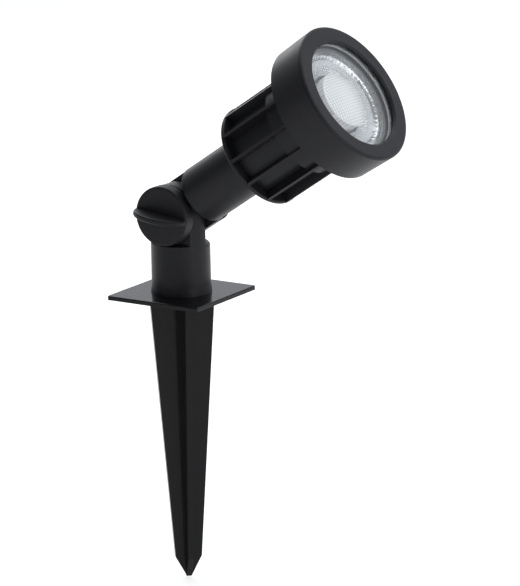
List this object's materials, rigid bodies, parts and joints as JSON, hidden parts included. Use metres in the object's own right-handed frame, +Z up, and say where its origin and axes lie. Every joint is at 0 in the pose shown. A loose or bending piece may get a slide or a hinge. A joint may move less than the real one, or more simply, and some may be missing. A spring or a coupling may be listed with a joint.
{
  "type": "garden spike spotlight",
  "caption": "Outdoor spotlight on a cruciform ground spike with a square plate, a round post with a knob-locked tilting joint, and a ribbed head closed by a screw ring with glass.",
  "frame": {"origin": "centre of the square plate's underside, where the plate rests on the soil", "axes": "+Z up along the post, -Z down the spike; the head leans to +X in the XZ plane and tilts about an axis along Y; the thumb knob faces -Y"},
  "size_m": [0.1356, 0.0656, 0.2636],
  "materials": {
    "spike_plastic": "glossy moulded, with fine scratches",
    "post_plastic": "satin moulded",
    "knob_plastic": "satin moulded",
    "head_metal": "die-cast, satin dark grey powder coat",
    "clear_glass": "clear tempered",
    "seal_rubber": "matte silicone",
    "bright_steel": "zinc plated",
    "gland_plastic": "satin moulded nylon",
    "lamp_metal": "bare die-cast",
    "lamp_plastic": "matte",
    "reflector_coat": "vacuum-coated, faceted",
    "lens_plastic": "clear moulded with fine dimples",
    "board_white": "white solder mask",
    "led_yellow": "phosphor",
    "board_green": "solder mask",
    "pin_brass": "bright",
    "holder_ceramic": "matte",
    "lead_silicone": "matte",
    "terminal_plastic": "matte"
  },
  "bodies": {
    "root": {"ground_spike": "spike_plastic", "support_post": "post_plastic", "post_screws": "bright_steel", "joint_washer": "seal_rubber"},
    "knob_carrier": {"knob_washer": "bright_steel"},
    "knob": {"thumb_knob": "knob_plastic", "knob_bolt": "bright_steel"},
    "head": {"head_housing": "head_metal", "captive_nut": "bright_steel", "glass_gasket": "seal_rubber", "lamp_body": "lamp_metal", "lamp_reflector": "reflector_coat", "lamp_lens": "lens_plastic", "led_board": "board_white", "led_chip": "led_yellow", "lamp_base": "lamp_plastic", "driver_board": "board_green", "lamp_pins": "pin_brass", "holder_bridge": "bright_steel", "bridge_screws": "bright_steel", "lamp_holder": "holder_ceramic", "holder_screws": "bright_steel", "holder_contacts": "pin_brass", "lamp_leads": "lead_silicone", "terminal_block": "terminal_plastic", "terminal_clamps": "pin_brass", "terminal_screws": "bright_steel", "gland_body": "gland_plastic", "gland_seal": "seal_rubber", "gland_nut": "gland_plastic"},
    "glass": {"cover_glass": "clear_glass"},
    "ring": {"front_ring": "head_metal"}
  },
  "joints": [
    {"name": "head_tilt", "type": "hinge", "parent": "root", "child": "head", "pos_m": [0, 0, 0.0395], "axis": [0, -1, 0], "range_deg": [-35, 145]},
    {"name": "knob_travel", "type": "slide", "parent": "root", "child": "knob_carrier", "axis": [0, -1, 0], "range_m": [0, 0.002]},
    {"name": "knob_turn", "type": "hinge", "parent": "knob_carrier", "child": "knob", "pos_m": [0, 0, 0.0395], "axis": [0, -1, 0], "range_deg": [0, 720]},
    {"name": "ring_travel", "type": "slide", "parent": "head", "child": "glass", "axis": [0.832, 0, 0.5548], "range_m": [0, 0.008]},
    {"name": "ring_turn", "type": "hinge", "parent": "glass", "child": "ring", "pos_m": [0, 0, 0.0395], "axis": [0.832, 0, 0.5548], "range_deg": [0, 1440]}
  ],
  "couplings": [
    {"joint": "knob_travel", "follows": "knob_turn", "m_per_rad": 0.000159},
    {"joint": "ring_travel", "follows": "ring_turn", "m_per_rad": 0.000318}
  ]
}
